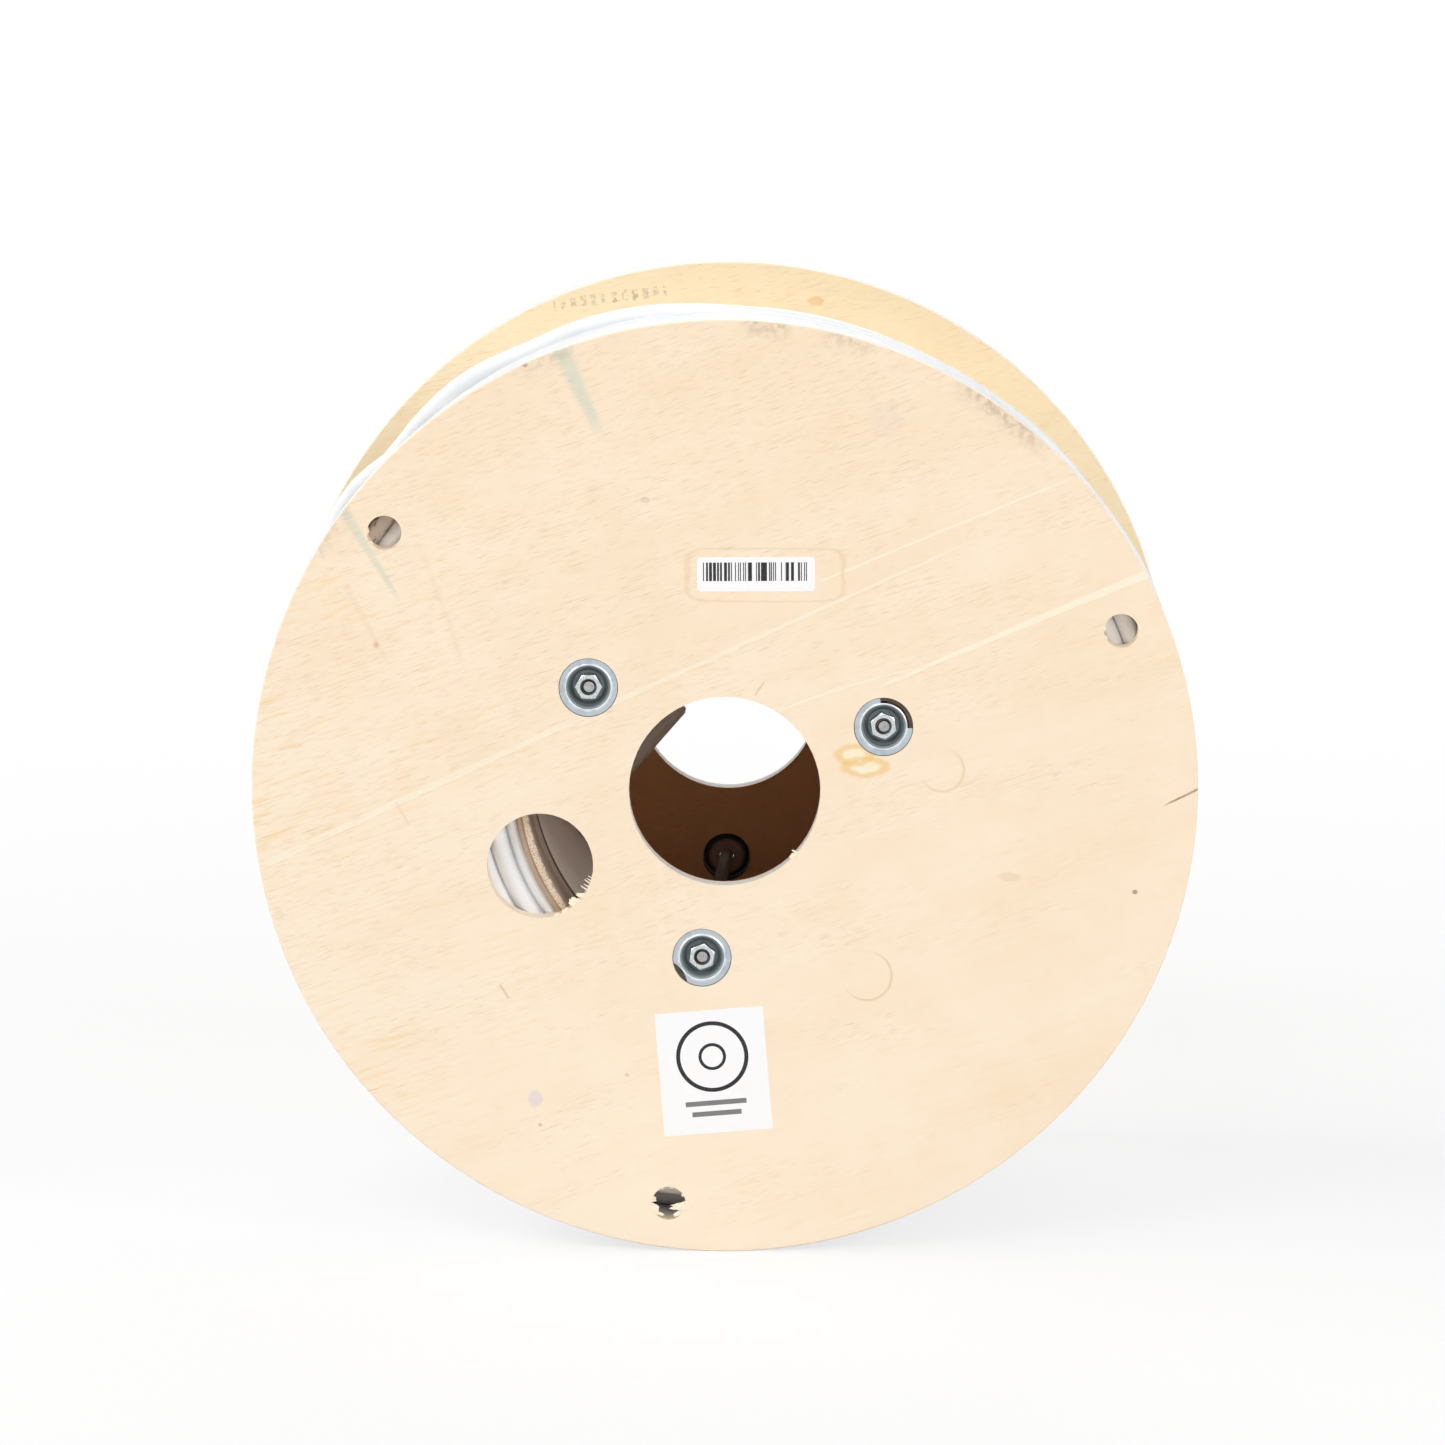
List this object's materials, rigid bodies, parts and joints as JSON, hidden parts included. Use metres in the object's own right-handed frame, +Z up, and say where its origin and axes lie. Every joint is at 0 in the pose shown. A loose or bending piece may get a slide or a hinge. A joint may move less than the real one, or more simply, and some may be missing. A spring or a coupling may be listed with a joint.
{
  "type": "cable reel",
  "caption": "Plywood cable reel with a cardboard barrel, tie rods in sunk cup washers and a full winding of white round cable.",
  "frame": {"origin": "on the floor, under the middle of the reel", "axes": "+Z up, reel axis along Y with the labelled front flange facing -Y, +X to the right seen from the front"},
  "size_m": [0.4, 0.238, 0.4],
  "materials": {
    "plywood": "raw birch-like plywood, unsealed",
    "cardboard": "spiral-wound brown board, matte",
    "zinc_steel": "bright zinc plating, slightly dull",
    "cable_sheath": "white extruded sheath, satin"
  },
  "bodies": {
    "root": {"flange_front": "plywood", "flange_rear": "plywood", "barrel": "cardboard", "tie_rod_1": "zinc_steel", "tie_rod_2": "zinc_steel", "tie_rod_3": "zinc_steel", "cup_washer_front_1": "zinc_steel", "cup_washer_front_2": "zinc_steel", "cup_washer_front_3": "zinc_steel", "cup_washer_rear_1": "zinc_steel", "cup_washer_rear_2": "zinc_steel", "cup_washer_rear_3": "zinc_steel", "nut_front_1": "zinc_steel", "nut_front_2": "zinc_steel", "nut_front_3": "zinc_steel", "nut_rear_1": "zinc_steel", "nut_rear_2": "zinc_steel", "nut_rear_3": "zinc_steel", "cable_winding": "cable_sheath", "cable_tail": "cable_sheath"}
  },
  "joints": []
}
